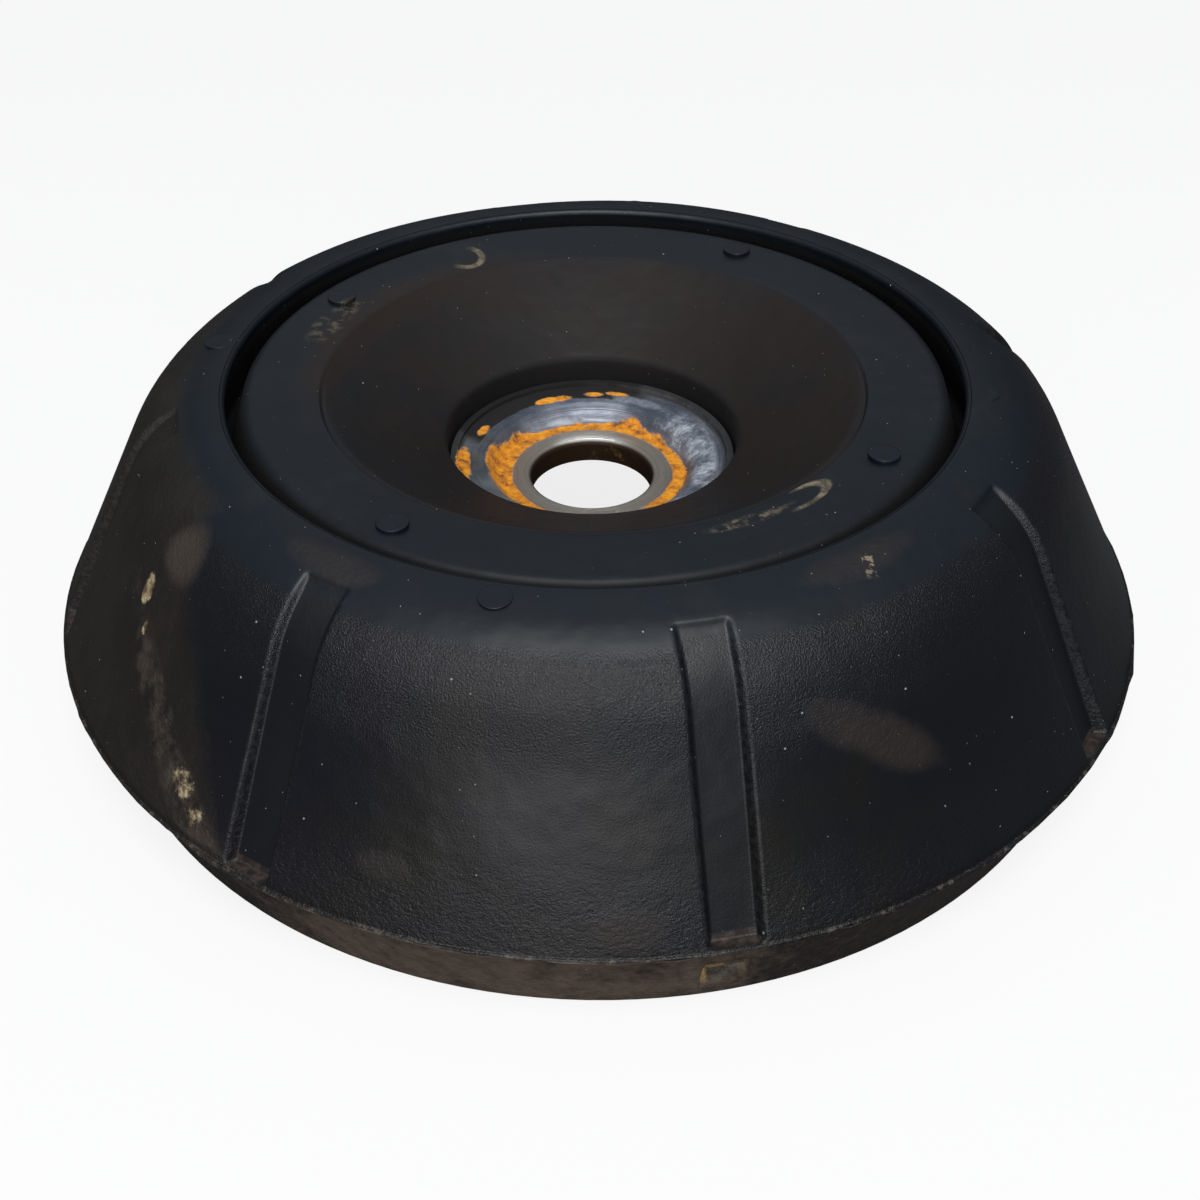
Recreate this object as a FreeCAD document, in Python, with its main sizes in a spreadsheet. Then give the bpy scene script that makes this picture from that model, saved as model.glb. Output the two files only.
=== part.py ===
import FreeCAD, Part
import math
import os
import sys
import Sketcher

# A strut top mount in four pieces on one upright axis, in millimetres.
# A conical rubber skirt carries a dished disc in its middle, with a narrow moat between the two.
# A steel ring is bonded inside the skirt and a dished steel plate inside the disc.
# A plated steel seat with the hole for the strut's rod lies on the plate, at the bottom of the dish.
# The origin is the middle of the foot's underside.

# Driving dimensions. Heights are real ones and "drop" is measured down from the top.
# The rubber's widths follow one another from the outer diameter inwards.
DRIVING_SIZES = {
    # rubber skirt, from the ground up
    "outer_diameter": 130.0,
    "base_inset": 5.0,
    "total_height": 39.0,
    "foot_height": 11.5,
    "flash_thickness": 0.5,
    "flash_width": 0.4,
    "band_step": 1.2,
    "shoulder_radius": 14.0,
    "flank_width": 22.8,
    "lip_edge_radius": 0.7,
    # moat between the skirt and the disc
    "moat_gap": 1.8,
    "moat_depth": 9.5,
    "moat_lean": 2.6,
    # rubber disc and its dish
    "disc_drop": 1.0,
    "disc_edge_radius": 1.4,
    "disc_ring_width": 8.7,
    "crease_drop": 1.5,
    "crease_radius": 2.0,
    "hole_diameter": 34.5,
    "hole_edge_drop": 9.0,
    "hole_edge_radius": 0.8,
    # grooves in the flank
    "groove_count": 8,
    "groove_phase": 9.3,
    "groove_width": 5.4,
    "groove_foot_depth": 1.5,
    "groove_top_depth": 0.7,
    "groove_top_inset": 5.6,
    # round pads that the mould leaves
    "pad_count": 4,
    "pad_diameter": 3.5,
    "pad_rise": 0.35,
    "disc_pad_inset": 3.8,
    "disc_pad_turn": 46.3,
    "rim_pad_inset": 2.7,
    "rim_pad_turn": 68.3,
    "rim_pad_drop": 0.05,
    "pad_root": 1.5,
    # bare window in the foot band
    "window_width": 5.0,
    "window_height": 3.6,
    "window_rise": 3.6,
    # steel ring in the skirt
    "ring_thickness": 2.5,
    "ring_base_cover": 1.0,
    "ring_foot_cover": 3.0,
    "ring_flank_cover": 3.0,
    "ring_bend_rise": 10.5,
    "ring_bend_radius": 1.5,
    "ring_inner_cover": 1.2,
    # rubber spring between the ring and the plate
    "spring_foot_rise": 6.0,
    "spring_corner_radius": 4.0,
    # dished plate in the disc
    "plate_thickness": 2.5,
    "plate_seat_drop": 13.8,
    "plate_hole_diameter": 26.8,
    "plate_margin": 1.1,
    "plate_cover": 2.4,
    "plate_edge_cover": 3.0,
    "plate_skirt_spread": 7.2,
    "plate_skirt_rise": 16.0,
    "plate_bend_radius": 2.0,
    # seat for the end of the strut's rod
    "seat_rim_clearance": 0.35,
    "seat_flange_thickness": 2.0,
    "seat_ridge_width": 0.8,
    "seat_ridge_height": 0.5,
    "seat_slope": 0.7,
    "seat_crest_diameter": 25.2,
    "seat_trough_diameter": 22.4,
    "seat_crest_radius": 1.0,
    "seat_trough_drop": 14.8,
    "seat_floor_thickness": 3.0,
    "seat_chamfer": 1.5,
    "bore_diameter": 14.5,
    "bore_edge_radius": 0.8,
}

# Two places closer than this are one.
SAME_PLACE = 1e-4

doc = FreeCAD.newDocument("strut_top_mount")
sheet = doc.addObject("Spreadsheet::Sheet", "Sizes")
for row, (alias, number) in enumerate(DRIVING_SIZES.items(), start=1):
    cell = "A" + str(row)
    sheet.set(cell, str(number))
    sheet.setAlias(cell, alias)
doc.recompute()


def of(alias):
    """The expression that reads one driving dimension."""
    return "Sizes." + alias


def half(alias):
    """The expression for a radius whose diameter is a driving dimension."""
    return "(Sizes." + alias + " / 2)"


def level(drop):
    """The expression for a height that is given as a drop from the top."""
    return "(Sizes.total_height - Sizes." + drop + ")"


def number_of(expression):
    """The present value of an expression."""
    return float(sheet.evalExpression(expression))


def tangent_point(foot, centre, radius):
    """Where a line from the foot point touches the outer side of a circle."""
    across = "((" + foot[0] + ") - (" + centre[0] + "))"
    up = "((" + foot[1] + ") - (" + centre[1] + "))"
    reach = "sqrt(" + across + "^2 + " + up + "^2)"
    turn = "(atan(" + up + " / " + across + ") + acos((" + radius + ") / " + reach + "))"
    return (
        "(" + centre[0] + ") + (" + radius + ") * cos(" + turn + ")",
        "(" + centre[1] + ") + (" + radius + ") * sin(" + turn + ")",
    )


def origin_feature(body, role):
    """One of the body's own origin planes or axes."""
    return next(feature for feature in body.Origin.OriginFeatures if feature.Role == role)


def new_body(name):
    body = doc.addObject("PartDesign::Body", name)
    body.Label = name
    return body


def new_sketch(body, name, role):
    sketch = body.newObject("Sketcher::SketchObject", name)
    sketch.AttachmentSupport = (origin_feature(body, role), [""])
    sketch.MapMode = "FlatFace"
    return sketch


def pin_point(sketch, geometry, end, point):
    """Hold one point of a sketch at the two expressions of its place."""
    for direction, expression in zip(("DistanceX", "DistanceY"), point):
        value = number_of(expression)
        rule = sketch.addConstraint(Sketcher.Constraint(direction, -1, 1, geometry, end, value))
        sketch.setExpression("Constraints[" + str(rule) + "]", expression)


def draw_outline(body, name, points, arcs=None):
    """A closed outline in the plane of radius and height.

    The points are pairs of expressions. For the stretch that leaves a point, arcs may
    give the centre of its arc and whether it turns clockwise.
    """
    arcs = arcs or {}
    sketch = new_sketch(body, name, "XZ_Plane")
    places = [FreeCAD.Vector(number_of(r), number_of(z), 0) for r, z in points]
    leaving = []
    for index, start in enumerate(places):
        end = places[(index + 1) % len(places)]
        if index not in arcs:
            geometry = sketch.addGeometry(Part.LineSegment(start, end), False)
            leaving.append((geometry, 1, 2))
            continue
        centre_point, clockwise = arcs[index]
        centre = FreeCAD.Vector(number_of(centre_point[0]), number_of(centre_point[1]), 0)
        first, last = (end, start) if clockwise else (start, end)
        first_angle = math.atan2(first.y - centre.y, first.x - centre.x)
        last_angle = math.atan2(last.y - centre.y, last.x - centre.x)
        circle = Part.Circle(centre, FreeCAD.Vector(0, 0, 1), (start - centre).Length)
        geometry = sketch.addGeometry(Part.ArcOfCircle(circle, first_angle, last_angle), False)
        leaving.append((geometry, 2, 1) if clockwise else (geometry, 1, 2))
    for index, (geometry, start_end, _) in enumerate(leaving):
        before, _, before_end = leaving[index - 1]
        sketch.addConstraint(Sketcher.Constraint("Coincident", before, before_end, geometry, start_end))
        pin_point(sketch, geometry, start_end, points[index])
    for index, (centre_point, _) in arcs.items():
        height = number_of(centre_point[1])
        geometry = leaving[index][0]
        rule = sketch.addConstraint(Sketcher.Constraint("DistanceY", -1, 1, geometry, 3, height))
        sketch.setExpression("Constraints[" + str(rule) + "]", centre_point[1])
    return sketch


def revolve(body, name, sketch):
    """Turn an outline once round the upright axis."""
    feature = body.newObject("PartDesign::Revolution", name)
    feature.Profile = sketch
    feature.ReferenceAxis = (sketch, ["V_Axis"])
    feature.Angle = 360.0
    doc.recompute()
    return feature


def ring_edges(shape, places):
    """The names of the circular edges at the given radii and heights."""
    found = []
    for radius, height in places:
        for index, edge in enumerate(shape.Edges, start=1):
            if not isinstance(edge.Curve, Part.Circle):
                continue
            near_radius = abs(edge.Curve.Radius - number_of(radius)) < SAME_PLACE
            near_height = abs(edge.Curve.Center.z - number_of(height)) < SAME_PLACE
            if near_radius and near_height:
                found.append("Edge" + str(index))
    return found


def round_edges(body, name, base, places, radius):
    """Round the circular edges at the given places."""
    feature = body.newObject("PartDesign::Fillet", name)
    feature.Base = (base, ring_edges(base.Shape, places))
    feature.setExpression("Radius", radius)
    doc.recompute()
    return feature


def repeat_round(body, name, original, count):
    """Repeat a feature evenly round the upright axis."""
    pattern = body.newObject("PartDesign::PolarPattern", name)
    pattern.Originals = [original]
    pattern.Axis = (origin_feature(body, "Z_Axis"), [""])
    pattern.Angle = 360.0
    pattern.setExpression("Occurrences", count)
    body.Tip = pattern
    doc.recompute()
    return pattern


# Places that several pieces share.
OUTER_RADIUS = half("outer_diameter")
FOOT_HEIGHT = of("foot_height")
TOP = of("total_height")
BASE_RADIUS = "(" + OUTER_RADIUS + " - Sizes.base_inset)"
RING_BASE_RADIUS = "(" + BASE_RADIUS + " - Sizes.ring_base_cover)"
RING_BEND_RADIUS = "(" + OUTER_RADIUS + " - Sizes.ring_foot_cover)"
LIP_RADIUS = "(" + OUTER_RADIUS + " - Sizes.flank_width)"
DISC_RADIUS = "(" + LIP_RADIUS + " - Sizes.moat_gap)"
DISC_TOP = level("disc_drop")
CREASE_RADIUS = "(" + DISC_RADIUS + " - Sizes.disc_ring_width)"
CREASE_TOP = level("crease_drop")
HOLE_RADIUS = half("hole_diameter")
SEAT_TOP = level("plate_seat_drop")
SHOULDER_CENTRE = (LIP_RADIUS, "Sizes.total_height - Sizes.shoulder_radius")
FLANK_FOOT = (OUTER_RADIUS + " - Sizes.flash_width", FOOT_HEIGHT)
FLANK_TOP = tangent_point(FLANK_FOOT, SHOULDER_CENTRE, of("shoulder_radius"))


def make_outer_ring():
    """Pressed steel ring: a cone in the skirt, turned in below the foot line."""
    body = new_body("outer_ring")
    top_radius = FLANK_TOP[0] + " - Sizes.ring_flank_cover"
    outside = [
        (RING_BASE_RADIUS, "0"),
        (RING_BEND_RADIUS, of("ring_bend_rise")),
        (top_radius, FLANK_TOP[1]),
    ]
    inside = [(radius + " - Sizes.ring_thickness", height) for radius, height in reversed(outside)]
    sketch = draw_outline(body, "ring_outline", outside + inside)
    turned = revolve(body, "ring_turned", sketch)
    bends = [outside[1], inside[1]]
    round_edges(body, "ring_bend", turned, bends, of("ring_bend_radius"))
    return body


def plate_top_points():
    """Corners of the plate's upper side, from its hole to the lower end of its skirt."""
    shoulder_radius = DISC_RADIUS + " - Sizes.plate_edge_cover"
    return [
        (half("plate_hole_diameter"), SEAT_TOP),
        (HOLE_RADIUS + " + Sizes.plate_margin", SEAT_TOP),
        (CREASE_RADIUS, CREASE_TOP + " - Sizes.plate_cover"),
        (shoulder_radius, DISC_TOP + " - Sizes.plate_cover"),
        (shoulder_radius + " + Sizes.plate_skirt_spread", of("plate_skirt_rise")),
    ]


def plate_points_below(depth):
    """The plate's corners set down and in by a depth into its sheet."""
    step = " - " + depth
    top = plate_top_points()
    flat = [(radius, height + step) for radius, height in top[:3]]
    corner = [(top[3][0] + step, top[3][1] + step)]
    skirt_end = [(top[4][0] + step, top[4][1])]
    return flat + corner + skirt_end


def make_inner_plate():
    """Pressed steel plate: a level seat margin, a dish, a level ring and a conical skirt."""
    body = new_body("inner_plate")
    over = plate_top_points()
    under = plate_points_below(of("plate_thickness"))
    sketch = draw_outline(body, "plate_outline", over + under[::-1])
    turned = revolve(body, "plate_turned", sketch)
    round_edges(body, "plate_bends", turned, over[1:4] + under[1:4], of("plate_bend_radius"))
    return body


def make_strut_seat():
    """Pressed seat: a stepped flange on the plate, a slope, and a low floor with the rod's hole."""
    body = new_body("strut_seat")
    rim_radius = HOLE_RADIUS + " - Sizes.seat_rim_clearance"
    rim_top = SEAT_TOP + " + Sizes.seat_flange_thickness"
    ridge_radius = rim_radius + " - Sizes.seat_ridge_width"
    slope_top = rim_top + " - Sizes.seat_ridge_height"
    floor_top = level("seat_trough_drop")
    floor_under = floor_top + " - Sizes.seat_floor_thickness"
    crest_top = slope_top + " - Sizes.seat_slope"
    points = [
        (half("bore_diameter"), floor_under),
        (half("plate_hole_diameter") + " - Sizes.seat_chamfer", floor_under),
        (half("plate_hole_diameter"), floor_under + " + Sizes.seat_chamfer"),
        (half("plate_hole_diameter"), SEAT_TOP),
        (rim_radius, SEAT_TOP),
        (rim_radius, rim_top),
        (ridge_radius, rim_top),
        (ridge_radius, slope_top),
        (half("seat_crest_diameter"), crest_top),
        (half("seat_trough_diameter"), floor_top),
        (half("bore_diameter"), floor_top),
    ]
    sketch = draw_outline(body, "seat_outline", points)
    turned = revolve(body, "seat_turned", sketch)
    crest = round_edges(body, "seat_crest", turned, points[8:10], of("seat_crest_radius"))
    round_edges(body, "bore_edge", crest, points[10:], of("bore_edge_radius"))
    return body


def groove_outline(body):
    """Section of one groove: it follows the flank and the shoulder, and ends on the foot band."""
    deep_foot = (FLANK_FOOT[0] + " - Sizes.groove_foot_depth", FLANK_FOOT[1])
    floor_radius = "Sizes.shoulder_radius - Sizes.groove_top_depth"
    floor_top = tangent_point(deep_foot, SHOULDER_CENTRE, floor_radius)
    end_radius = "(" + LIP_RADIUS + " + Sizes.groove_top_inset)"
    end_height = (
        SHOULDER_CENTRE[1] + " + sqrt((" + floor_radius + ")^2 - ("
        + end_radius + " - " + SHOULDER_CENTRE[0] + ")^2)"
    )
    points = [
        deep_foot,
        floor_top,
        (end_radius, end_height),
        (end_radius, TOP),
        (OUTER_RADIUS, TOP),
        (OUTER_RADIUS, FOOT_HEIGHT),
    ]
    return draw_outline(body, "groove_outline", points, {1: (SHOULDER_CENTRE, False)})


def cut_grooves(body):
    """Upright grooves round the flank."""
    groove = body.newObject("PartDesign::Pocket", "groove")
    groove.Profile = groove_outline(body)
    groove.Type = "Length"
    groove.Midplane = True
    groove.setExpression("Length", of("groove_width"))
    doc.recompute()
    repeat_round(body, "grooves", groove, of("groove_count"))


def add_pads(body, name, circle_radius, turn, pad_top):
    """Low round pads on one circle. They start inside the rubber and end level."""
    sketch = new_sketch(body, name + "_outline", "XY_Plane")
    sketch.setExpression("AttachmentOffset.Base.z", pad_top + " - Sizes.pad_root")
    centre = (
        circle_radius + " * cos(Sizes." + turn + ")",
        circle_radius + " * sin(Sizes." + turn + ")",
    )
    place = FreeCAD.Vector(number_of(centre[0]), number_of(centre[1]), 0)
    radius = number_of(half("pad_diameter"))
    ring = sketch.addGeometry(Part.Circle(place, FreeCAD.Vector(0, 0, 1), radius), False)
    pin_point(sketch, ring, 3, centre)
    rule = sketch.addConstraint(Sketcher.Constraint("Diameter", ring, 2 * radius))
    sketch.setExpression("Constraints[" + str(rule) + "]", of("pad_diameter"))
    pad = body.newObject("PartDesign::Pad", name + "_first")
    pad.Profile = sketch
    pad.Type = "Length"
    pad.setExpression("Length", of("pad_root"))
    doc.recompute()
    repeat_round(body, name, pad, of("pad_count"))


def cut_window(body):
    """Small square-cornered window in the foot band, below one groove, down to the ring."""
    sketch = new_sketch(body, "window_outline", "XZ_Plane")
    low = of("window_rise")
    high = low + " + Sizes.window_height"
    side = "Sizes.window_width / 2"
    corners = [("-" + side, low), (side, low), (side, high), ("-" + side, high)]
    places = [FreeCAD.Vector(number_of(x), number_of(z), 0) for x, z in corners]
    for index, place in enumerate(places):
        sketch.addGeometry(Part.LineSegment(place, places[(index + 1) % len(places)]), False)
    for index, corner in enumerate(corners):
        before = (index - 1) % len(corners)
        sketch.addConstraint(Sketcher.Constraint("Coincident", before, 2, index, 1))
        pin_point(sketch, index, 1, corner)
    ring_at_middle = (
        RING_BASE_RADIUS + " + (Sizes.window_rise + Sizes.window_height / 2) / Sizes.ring_bend_rise"
        " * (" + RING_BEND_RADIUS + " - " + RING_BASE_RADIUS + ")"
    )
    floor = ring_at_middle + " - Sizes.ring_thickness / 2"
    sketch.setExpression("AttachmentOffset.Base.z", floor)
    window = body.newObject("PartDesign::Pocket", "window")
    window.Profile = sketch
    window.Type = "Length"
    window.Reversed = True
    window.setExpression("Length", OUTER_RADIUS)
    doc.recompute()
    body.Tip = window
    doc.recompute()


def make_rubber_blank():
    """The rubber before the steel pieces take their room in it."""
    body = new_body("rubber_blank")
    band_top = "Sizes.foot_height - Sizes.flash_thickness"
    moat_floor = level("moat_depth")
    moat_outer = LIP_RADIUS + " + Sizes.moat_lean"
    moat_inner = DISC_RADIUS + " + Sizes.moat_lean"
    moat_centre = ("(" + moat_outer + " + " + moat_inner + ") / 2", moat_floor)
    inside_steel = plate_points_below(half("plate_thickness"))
    plate_under = plate_points_below(of("plate_thickness"))
    spring_radius = RING_BASE_RADIUS + " - Sizes.ring_thickness - Sizes.ring_inner_cover"
    hole_edge = (HOLE_RADIUS, level("hole_edge_drop"))
    points = [
        (BASE_RADIUS, "0"),
        (OUTER_RADIUS + " - Sizes.band_step", band_top),
        (OUTER_RADIUS, band_top),
        (OUTER_RADIUS, FOOT_HEIGHT),
        FLANK_FOOT,
        FLANK_TOP,
        (LIP_RADIUS, TOP),
        (moat_outer, moat_floor),
        (moat_inner, moat_floor),
        (DISC_RADIUS, DISC_TOP),
        (CREASE_RADIUS, CREASE_TOP),
        hole_edge,
        (HOLE_RADIUS, inside_steel[1][1]),
        inside_steel[1],
        inside_steel[2],
        inside_steel[3],
        plate_under[4],
        (spring_radius, of("spring_foot_rise")),
        (spring_radius, "0"),
    ]
    arcs = {5: (SHOULDER_CENTRE, False), 7: (moat_centre, True)}
    turned = revolve(body, "rubber_turned", draw_outline(body, "rubber_outline", points, arcs))
    lip = round_edges(body, "lip_edge", turned, [points[6]], of("lip_edge_radius"))
    disc = round_edges(body, "disc_edge", lip, [points[9]], of("disc_edge_radius"))
    crease = round_edges(body, "crease", disc, [points[10]], of("crease_radius"))
    hole = round_edges(body, "hole_edge", crease, [hole_edge], of("hole_edge_radius"))
    round_edges(body, "spring_corner", hole, [points[17]], of("spring_corner_radius"))
    cut_grooves(body)
    disc_pad_circle = "(" + DISC_RADIUS + " - Sizes.disc_pad_inset)"
    rim_pad_circle = "(" + LIP_RADIUS + " + Sizes.rim_pad_inset)"
    add_pads(body, "disc_pads", disc_pad_circle, "disc_pad_turn", DISC_TOP + " + Sizes.pad_rise")
    add_pads(body, "rim_pads", rim_pad_circle, "rim_pad_turn", level("rim_pad_drop"))
    cut_window(body)
    body.setExpression("Placement.Rotation.Angle", "Sizes.groove_phase")
    return body


def make_rubber_body(ring, plate):
    """One moulding round both bonded steel pieces."""
    blank = make_rubber_blank()
    steel = doc.addObject("Part::MultiFuse", "bonded_steel")
    steel.Shapes = [ring, plate]
    moulding = doc.addObject("Part::Cut", "rubber_body")
    moulding.Base = blank
    moulding.Tool = steel
    moulding.Label = "rubber_body"
    doc.recompute()
    return moulding


outer_ring = make_outer_ring()
inner_plate = make_inner_plate()
strut_seat = make_strut_seat()
rubber_body = make_rubber_body(outer_ring, inner_plate)
doc.recompute()

failed = [thing.Name for thing in doc.Objects if "Invalid" in thing.State or "Error" in thing.State]
if failed:
    sys.exit("these did not build: " + ", ".join(failed))

SUB_PARTS = [outer_ring, inner_plate, strut_seat, rubber_body]
for sub_part in SUB_PARTS:
    if sub_part.Shape.isNull() or not sub_part.Shape.isValid():
        sys.exit(sub_part.Label + " has no sound shape")

os.makedirs("parts", exist_ok=True)
for sub_part in SUB_PARTS:
    sub_part.Shape.exportStep("parts/" + sub_part.Label + ".step")
    solids = len(sub_part.Shape.Solids)
    print(sub_part.Label, "solids", solids, "volume", round(sub_part.Shape.Volume, 1))
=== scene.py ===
# %% [markdown]
# Strut top mount
# This lesson dresses a used rubber-to-metal mount from a car's front suspension.
# The solids, at their real size, are loaded first and never move. What the lesson adds is
# the soft look of moulded rubber, the wear on the plated steel, and the light.

import math

import bmesh
import bpy
import numpy as np
from mathutils import Matrix, Vector


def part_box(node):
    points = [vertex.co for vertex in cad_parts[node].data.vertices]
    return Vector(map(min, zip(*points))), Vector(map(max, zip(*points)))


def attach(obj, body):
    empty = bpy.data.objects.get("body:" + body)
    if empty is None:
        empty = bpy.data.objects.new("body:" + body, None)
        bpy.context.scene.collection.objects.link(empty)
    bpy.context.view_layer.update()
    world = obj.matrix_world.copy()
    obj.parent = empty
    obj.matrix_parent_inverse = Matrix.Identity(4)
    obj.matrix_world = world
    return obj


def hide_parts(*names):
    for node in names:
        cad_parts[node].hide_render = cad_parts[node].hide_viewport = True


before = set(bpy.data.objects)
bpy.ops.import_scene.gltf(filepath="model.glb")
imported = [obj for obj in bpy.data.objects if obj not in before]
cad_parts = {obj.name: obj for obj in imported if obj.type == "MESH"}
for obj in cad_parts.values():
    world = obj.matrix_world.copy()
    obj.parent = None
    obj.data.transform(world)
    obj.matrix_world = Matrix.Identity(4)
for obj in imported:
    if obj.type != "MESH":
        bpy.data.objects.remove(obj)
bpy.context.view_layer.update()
MM = 0.001
print("solids:", ", ".join(sorted(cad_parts)))

# %% [markdown]
# Sizes
# Each height and radius below is one of the real mount's, in millimetres. The main ones are
# read from the loaded solids, so the rubber drawn here can't drift away from the steel in it.

# %% Sizes of the rubber
rubber_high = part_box("rubber_body")[1]
seat_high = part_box("strut_seat")[1]
plate_low, plate_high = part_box("inner_plate")
TOP = rubber_high.z / MM
OUTER_RADIUS = 65.0
BASE_RADIUS = 60.0
FOOT_HEIGHT = 11.5
FLASH_THICKNESS = 0.5
FLASH_WIDTH = 0.4
BAND_STEP = 1.2
SHOULDER_RADIUS = 14.0
LIP_RADIUS = 42.2
DISC_RADIUS = 40.4
DISC_TOP = TOP - 1.0
CREASE_RADIUS = 31.7
CREASE_TOP = TOP - 1.5
HOLE_RADIUS = 17.25
HOLE_EDGE = TOP - 9.0
MOAT_FLOOR = TOP - 9.5
MOAT_LEAN = 2.6
SEAT_MARGIN = seat_high.z / MM - 2.0
PLATE_EDGE_RADIUS = plate_high.x / MM
PLATE_EDGE_HEIGHT = plate_low.z / MM
RING_WALL = 2.5
RING_BASE_RADIUS = BASE_RADIUS - 1.0
SPRING_RADIUS = RING_BASE_RADIUS - RING_WALL - 1.2
SPRING_FOOT = 6.0
FLANK_FACE_RADIUS = 58.0
print("top", round(TOP, 2), "mm, seat margin", round(SEAT_MARGIN, 2), "mm")
print("plate edge", round(PLATE_EDGE_RADIUS, 2), "mm from the axis")

# %% Sizes of the grooves, pads and window
GROOVE_COUNT = 8
GROOVE_PHASE = math.radians(9.3)
GROOVE_FLOOR_HALF = 2.25
GROOVE_EDGE_HALF = 2.95
GROOVE_FOOT_DEPTH = 1.3
GROOVE_TOP_DEPTH = 0.3
GROOVE_TOP_RADIUS = 47.8
GROOVE_LEDGE = 0.62
DEPTH_POWER = 0.6
PAD_RADIUS = 1.75
WINDOW_HALF = 2.45
WINDOW_LOW = 3.9
WINDOW_HIGH = 7.2
WINDOW_DEPTH = 1.9
WINDOW_EDGE = 0.1
WINDOW_GROOVE = 6
CREASE_HALF = 0.42
CREASE_DEPTH = 0.32
WAVE_HEIGHT = 0.06
FLASH_TEAR = 0.14
groove_turns = math.degrees(GROOVE_PHASE) + 360 / GROOVE_COUNT * np.arange(GROOVE_COUNT)
print("grooves at", groove_turns.round(1).tolist())

# %% [markdown]
# A section with rounded corners
# A moulded part has no sharp corner: every edge has a small radius, because rubber wouldn't
# flow into a sharp one. The section is therefore a polygon whose corners are each replaced
# by an arc. The points along it are spread by a measure that grows with length and with
# turning, so a tight edge gets as many points as it needs and a straight wall gets few.

# %% Rounded section
def rounded_path(corners, fine=0.02):
    """Closed path through corners (radius, height, rounding), as dense points.

    Each corner is cut back by rounding * tan(turn / 2) on both sides and joined by an arc.
    """
    corner = np.array(corners, float)
    place, rounding = corner[:, :2], corner[:, 2]
    before = np.roll(place, 1, axis=0) - place
    after = np.roll(place, -1, axis=0) - place
    before /= np.linalg.norm(before, axis=1, keepdims=True)
    after /= np.linalg.norm(after, axis=1, keepdims=True)
    opening = np.arccos(np.clip((before * after).sum(1), -1, 1))
    cut = rounding / np.tan(opening / 2)
    inward = (before + after) / np.linalg.norm(before + after, axis=1, keepdims=True)
    centre = place + inward * (rounding / np.sin(opening / 2))[:, None]
    pieces = []
    for index in range(len(place)):
        start = place[index] + before[index] * cut[index]
        end = place[index] + after[index] * cut[index]
        angle_start = np.arctan2(*(start - centre[index])[::-1])
        angle_turn = np.arctan2(*(end - centre[index])[::-1]) - angle_start
        angle_turn = (angle_turn + np.pi) % (2 * np.pi) - np.pi
        steps = max(2, int(abs(angle_turn) * rounding[index] / fine) + 2)
        angles = angle_start + angle_turn * np.linspace(0, 1, steps)
        arc = np.stack([np.cos(angles), np.sin(angles)], -1)
        pieces.append(centre[index] + rounding[index] * arc)
    dense = np.concatenate(pieces)
    return resample_even(np.concatenate([dense, dense[:1]]), fine)


def resample_even(points, step):
    """Points at an even spacing along a path."""
    gaps = np.linalg.norm(np.diff(points, axis=0), axis=1)
    length = np.concatenate([[0], np.cumsum(gaps)])
    wanted = np.linspace(0, length[-1], int(length[-1] / step) + 1)
    return np.stack([np.interp(wanted, length, points[:, axis]) for axis in (0, 1)], -1)

# %% The rubber's section
flank_rise = FOOT_HEIGHT - (TOP - SHOULDER_RADIUS)
flank_run = OUTER_RADIUS - FLASH_WIDTH - LIP_RADIUS
shoulder_turn = math.acos(SHOULDER_RADIUS / math.hypot(flank_rise, flank_run))
flank_lean = math.atan2(flank_rise, flank_run) + shoulder_turn
SHOULDER_APEX = LIP_RADIUS + SHOULDER_RADIUS * math.tan((math.pi / 2 - flank_lean) / 2)
SECTION = rounded_path([
    # The foot band and the torn flash above it.
    (BASE_RADIUS, 0.0, 0.4),
    (OUTER_RADIUS - BAND_STEP, FOOT_HEIGHT - FLASH_THICKNESS, 0.35),
    (OUTER_RADIUS, FOOT_HEIGHT - FLASH_THICKNESS, 0.12),
    (OUTER_RADIUS, FOOT_HEIGHT, 0.12),
    (OUTER_RADIUS - FLASH_WIDTH, FOOT_HEIGHT, 0.15),
    # The flank's shoulder, the lip and the moat.
    (SHOULDER_APEX, TOP, SHOULDER_RADIUS - 1.0),
    (LIP_RADIUS, TOP, 0.6),
    (LIP_RADIUS + MOAT_LEAN, MOAT_FLOOR, 0.8),
    (DISC_RADIUS + MOAT_LEAN, MOAT_FLOOR, 0.8),
    # The disc, its crease, and the dish down to the hole.
    (DISC_RADIUS, DISC_TOP, 1.3),
    (CREASE_RADIUS, CREASE_TOP, 1.6),
    (HOLE_RADIUS, HOLE_EDGE, 0.7),
    (HOLE_RADIUS, SEAT_MARGIN, 0.05),
    # The underside of the disc's rubber, which lies on the plate.
    (HOLE_RADIUS + 1.1, SEAT_MARGIN, 0.3),
    (CREASE_RADIUS, CREASE_TOP - 2.4, 0.5),
    (DISC_RADIUS - 3.0, DISC_TOP - 2.4, 0.5),
    (DISC_RADIUS + 3.2, PLATE_EDGE_HEIGHT + 2.0, 0.5),
    (PLATE_EDGE_RADIUS - 2.5, PLATE_EDGE_HEIGHT, 0.1),
    # The spring, and the pocket for the ring's lower edge.
    (SPRING_RADIUS, SPRING_FOOT, 4.0),
    (SPRING_RADIUS, 0.0, 0.3),
    (RING_BASE_RADIUS - RING_WALL, 0.0, 0.1),
    (RING_BASE_RADIUS - RING_WALL, 1.6, 0.1),
    (RING_BASE_RADIUS, 1.6, 0.1),
    (RING_BASE_RADIUS, 0.0, 0.1),
])
print("section", len(SECTION), "points, flank lean", round(math.degrees(flank_lean), 1), "degrees")

# %% [markdown]
# Where the points go
# The skin is a grid: one direction runs round the axis and the other along the section.
# A groove needs lines that follow its two walls, so beside each groove the lines keep a fixed
# sideways distance from its middle, and between grooves they share out the angle that is left.

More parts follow.
